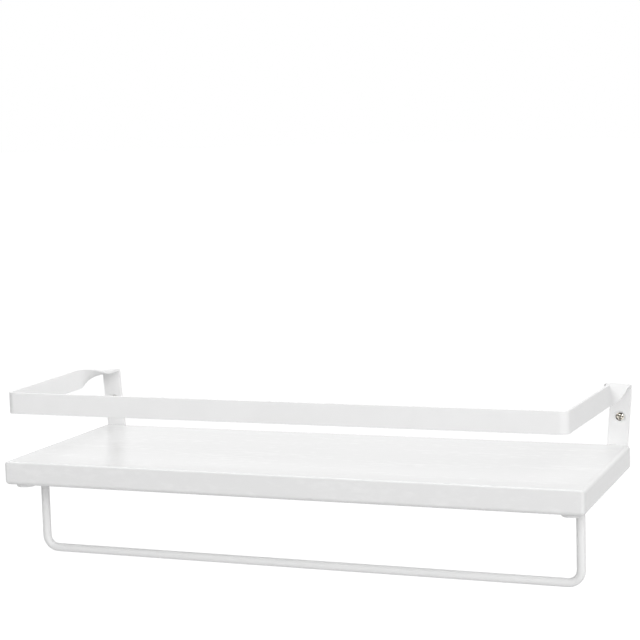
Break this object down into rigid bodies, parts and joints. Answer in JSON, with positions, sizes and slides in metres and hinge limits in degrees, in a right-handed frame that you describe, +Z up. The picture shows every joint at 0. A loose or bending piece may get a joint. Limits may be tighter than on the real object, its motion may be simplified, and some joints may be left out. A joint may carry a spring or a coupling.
{
  "type": "towel rack with shelf",
  "caption": "Wall-mounted towel rack with shelf: a painted board in a bent and twisted flat-bar frame that forms a raised rail, with a round towel bar bent to a U below it.",
  "frame": {"origin": "on the wall plane, which is the straps' rear faces, midway between the wall screw holes", "axes": "+X along the wall to the right of someone who faces it, -Y out of the wall into the room, +Z up"},
  "size_m": [0.4218, 0.1767, 0.1246],
  "materials": {
    "painted_wood": "white satin paint over faint grain",
    "white_powder_coat": "smooth white powder coat",
    "nickel_plate": "bright nickel plate"
  },
  "bodies": {
    "root": {"shelf_board": "painted_wood", "rail_frame": "white_powder_coat", "towel_bar": "white_powder_coat", "wall_screw_left": "nickel_plate", "wall_screw_right": "nickel_plate", "board_screw_left_front": "nickel_plate", "board_screw_left_rear": "nickel_plate", "board_screw_right_front": "nickel_plate", "board_screw_right_rear": "nickel_plate", "bar_screw_left": "nickel_plate", "bar_screw_right": "nickel_plate"}
  },
  "joints": []
}
